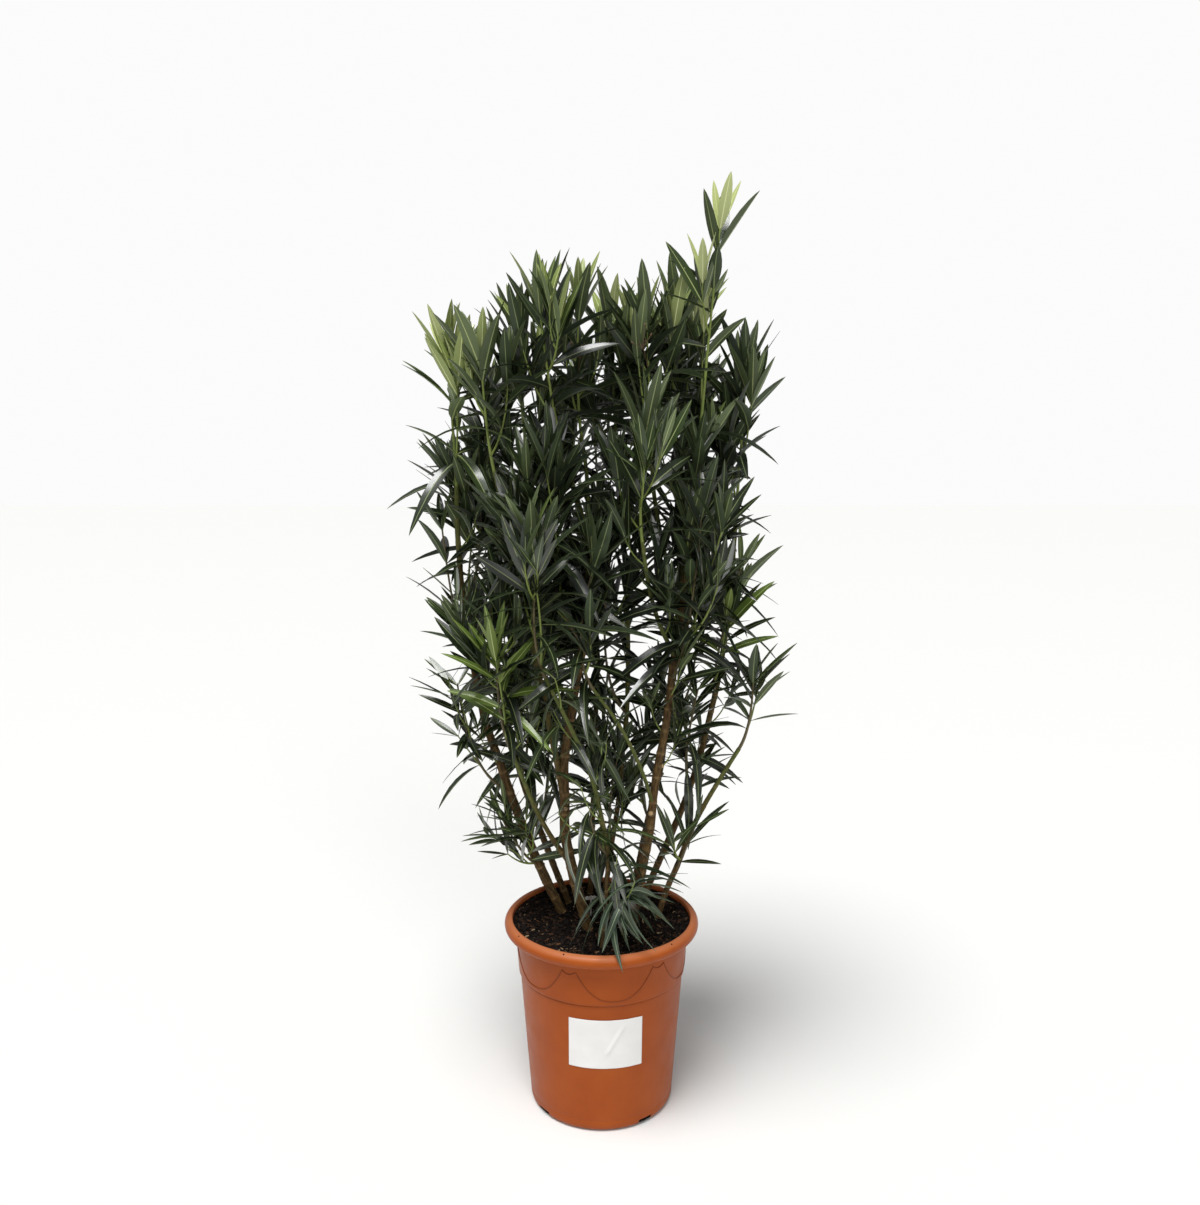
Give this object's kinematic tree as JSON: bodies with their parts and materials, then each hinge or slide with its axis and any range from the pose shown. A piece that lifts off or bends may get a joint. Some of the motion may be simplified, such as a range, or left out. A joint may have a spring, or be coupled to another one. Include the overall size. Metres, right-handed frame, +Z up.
{
  "type": "potted oleander",
  "caption": "Upright bushy oleander with several bare stems, boughs and leafy shoots in whorls, in a round terracotta-coloured plastic tub with a rolled rim and a blank paper label.",
  "frame": {"origin": "centre of the tub's flat underside", "axes": "+Z up along the tub's axis; the front, with the label, faces -Y; +X to the right of the front view"},
  "size_m": [0.7971, 0.6356, 1.8517],
  "materials": {
    "tub": "satin",
    "compost": "matte",
    "label": "matte",
    "tag": "satin",
    "bark": "matte",
    "leaves": "satin"
  },
  "bodies": {
    "root": {"tub": "tub", "compost": "compost", "label": "label", "tag": "tag", "stem_back": "bark", "stem_back_right": "bark", "stem_centre": "bark", "stem_dark": "bark", "stem_far_right": "bark", "stem_front": "bark", "stem_left": "bark", "stem_left_back": "bark", "stem_right": "bark", "stem_right_outer": "bark", "bough_back_right": "bark", "bough_centre": "bark", "bough_front": "bark", "bough_front_right": "bark", "bough_inner_right": "bark", "bough_left": "bark", "bough_left_inner": "bark", "bough_left_low": "bark", "leaves_back_right_top": "leaves", "leaves_centre_mid": "leaves", "leaves_centre_top": "leaves", "leaves_centre_top_back": "leaves", "leaves_centre_top_left": "leaves", "leaves_crown_tip": "leaves", "leaves_front_left_mid": "leaves", "leaves_front_low": "leaves", "leaves_front_mid": "leaves", "leaves_front_right_mid": "leaves", "leaves_front_tuft": "leaves", "leaves_inner_low": "leaves", "leaves_inner_mid": "leaves", "leaves_inner_right_top": "leaves", "leaves_left_foot": "leaves", "leaves_left_front_mid": "leaves", "leaves_left_inner_low": "leaves", "leaves_left_low": "leaves", "leaves_left_mid": "leaves", "leaves_left_top": "leaves", "leaves_left_top_centre": "leaves", "leaves_left_top_inner": "leaves", "leaves_left_upper_mid": "leaves", "leaves_rear_left_low": "leaves", "leaves_rear_left_mid": "leaves", "leaves_rear_left_top": "leaves", "leaves_rear_mid": "leaves", "leaves_rear_right_low": "leaves", "leaves_rear_right_mid": "leaves", "leaves_rear_right_top": "leaves", "leaves_rear_top": "leaves", "leaves_right_foot": "leaves", "leaves_right_front_low": "leaves", "leaves_right_front_mid": "leaves", "leaves_right_low": "leaves", "leaves_right_mid": "leaves", "leaves_right_top": "leaves", "leaves_right_upper_mid": "leaves"}
  },
  "joints": []
}
